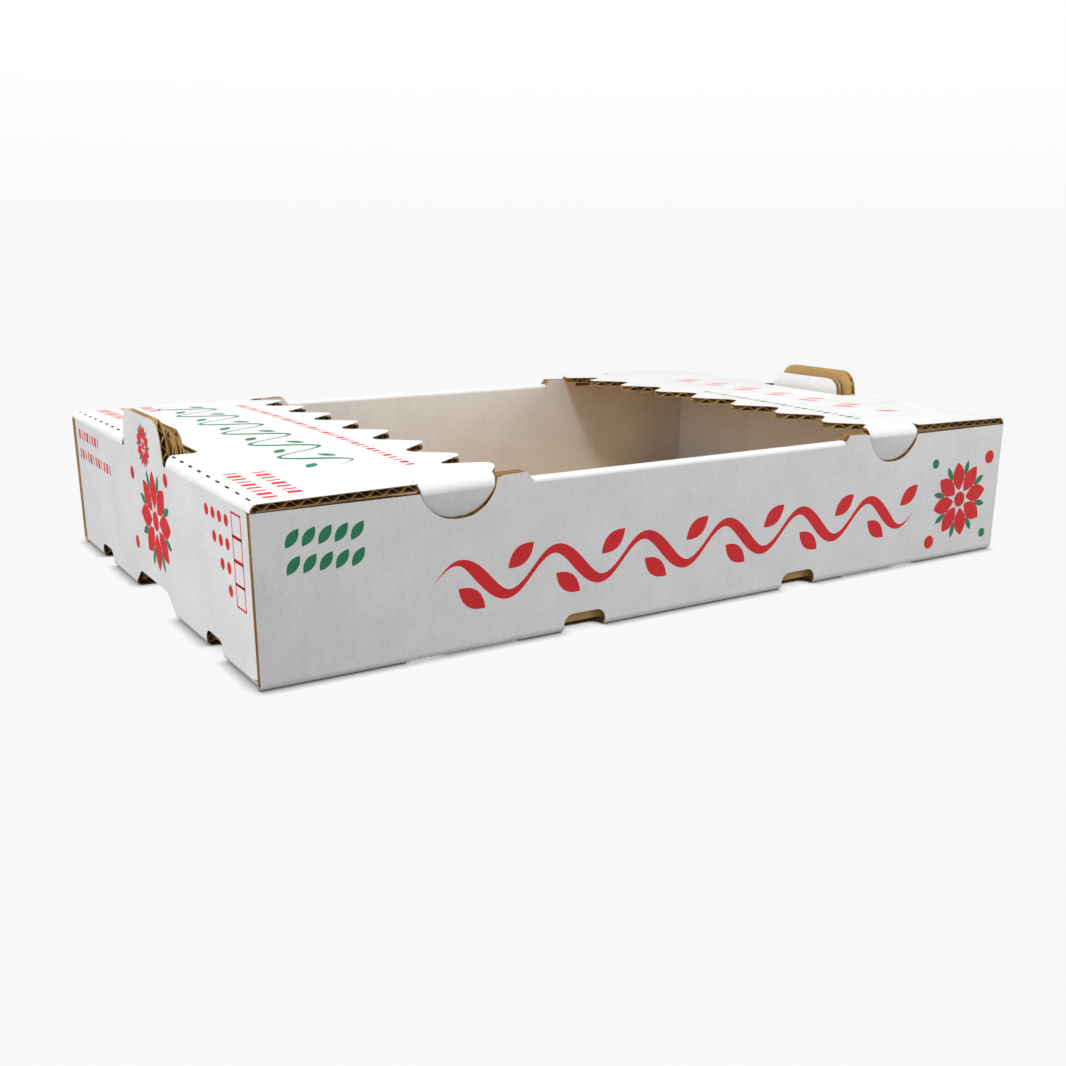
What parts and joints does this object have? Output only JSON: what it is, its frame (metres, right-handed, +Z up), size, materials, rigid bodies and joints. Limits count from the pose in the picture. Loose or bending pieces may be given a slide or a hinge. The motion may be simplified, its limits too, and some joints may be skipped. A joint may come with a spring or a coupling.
{
  "type": "fruit tray box",
  "caption": "Open corrugated tray with folded-in scalloped end ledges, stacking tabs and half-round side locks.",
  "frame": {"origin": "centre of the underside", "axes": "+X along the length towards one ledge, +Y across the width, +Z up"},
  "size_m": [0.4, 0.267, 0.0832],
  "materials": {
    "board": "white printed liner outside, brown liner inside"
  },
  "bodies": {
    "root": {"tray": "board"}
  },
  "joints": []
}
